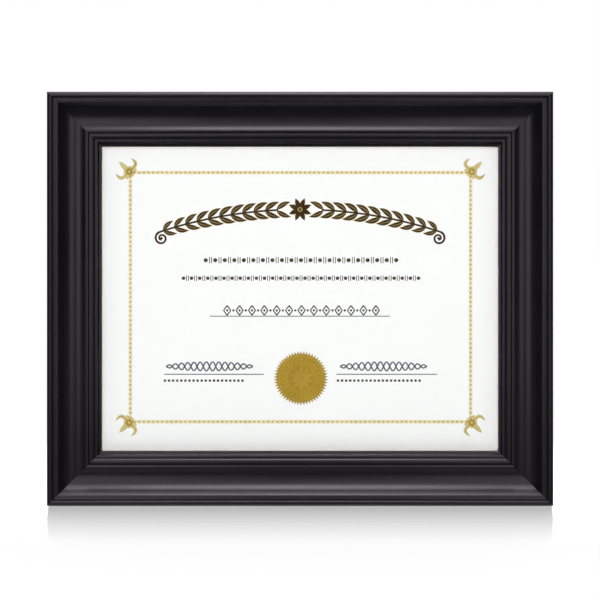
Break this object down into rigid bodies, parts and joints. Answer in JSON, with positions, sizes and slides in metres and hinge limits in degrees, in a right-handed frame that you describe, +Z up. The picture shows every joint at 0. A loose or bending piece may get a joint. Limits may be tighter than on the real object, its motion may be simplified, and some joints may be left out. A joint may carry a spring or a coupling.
{
  "type": "certificate frame",
  "caption": "Dark moulded landscape certificate frame with glass, sealed certificate, backing board, turn buttons, hangers and a folding easel leg.",
  "frame": {"origin": "bottom centre of the bounding box, on the surface that the frame stands on", "axes": "+X to the viewer's right along the frame, +Y from the front to the easel leg behind, +Z up"},
  "size_m": [0.3488, 0.1082, 0.2811],
  "materials": {
    "moulding": "satin",
    "glazing": "gloss",
    "certificate_paper": "matte",
    "gold_foil": "satin",
    "filler_board": "matte",
    "hardboard": "matte",
    "plated_steel": "satin",
    "button_steel": "satin",
    "nail_steel": "satin",
    "ribbon": "matte",
    "bumper_rubber": "matte"
  },
  "bodies": {
    "frame": {"rail_bottom": "moulding", "rail_right": "moulding", "rail_top": "moulding", "rail_left": "moulding", "corner_nails": "nail_steel", "glass_pane": "glazing", "certificate_sheet": "certificate_paper", "foil_seal": "gold_foil", "filler_sheet": "filler_board", "backing_board": "hardboard", "hinge_board_leaf": "plated_steel", "hinge_pin": "plated_steel", "hinge_board_rivets": "plated_steel", "stay_ribbon": "ribbon", "ribbon_board_rivet": "plated_steel", "turn_button_screws": "plated_steel", "sawtooth_hanger_top": "plated_steel", "sawtooth_hanger_side": "plated_steel", "hanger_nails": "nail_steel", "wall_bumpers": "bumper_rubber"},
    "leg": {"easel_leg": "hardboard", "hinge_leg_leaf": "plated_steel", "hinge_leg_rivets": "plated_steel", "ribbon_leg_rivet": "plated_steel"},
    "button_bottom_left": {"turn_button_bottom_left": "button_steel"},
    "button_bottom_right": {"turn_button_bottom_right": "button_steel"},
    "button_top_left": {"turn_button_top_left": "button_steel"},
    "button_top_right": {"turn_button_top_right": "button_steel"},
    "button_left": {"turn_button_left": "button_steel"},
    "button_right": {"turn_button_right": "button_steel"}
  },
  "joints": [
    {"name": "leg_fold", "type": "hinge", "parent": "frame", "child": "leg", "pos_m": [0, 0.01517, 0.19355], "axis": [-1, 0, 0], "range_deg": [0, 24], "deforming": ["stay_ribbon"]},
    {"name": "turn_bottom_left", "type": "hinge", "parent": "frame", "child": "button_bottom_left", "pos_m": [-0.0777, -0.02823, 0.02814], "axis": [0, 0.9703, -0.2419], "continuous": true},
    {"name": "turn_bottom_right", "type": "hinge", "parent": "frame", "child": "button_bottom_right", "pos_m": [0.0777, -0.02823, 0.02814], "axis": [0, 0.9703, -0.2419], "continuous": true},
    {"name": "turn_top_left", "type": "hinge", "parent": "frame", "child": "button_top_left", "pos_m": [-0.0777, 0.02676, 0.24869], "axis": [0, 0.9703, -0.2419], "continuous": true},
    {"name": "turn_top_right", "type": "hinge", "parent": "frame", "child": "button_top_right", "pos_m": [0.0777, 0.02676, 0.24869], "axis": [0, 0.9703, -0.2419], "continuous": true},
    {"name": "turn_left", "type": "hinge", "parent": "frame", "child": "button_left", "pos_m": [-0.1454, -0.00074, 0.13841], "axis": [0, 0.9703, -0.2419], "continuous": true},
    {"name": "turn_right", "type": "hinge", "parent": "frame", "child": "button_right", "pos_m": [0.1454, -0.00074, 0.13841], "axis": [0, 0.9703, -0.2419], "continuous": true}
  ]
}
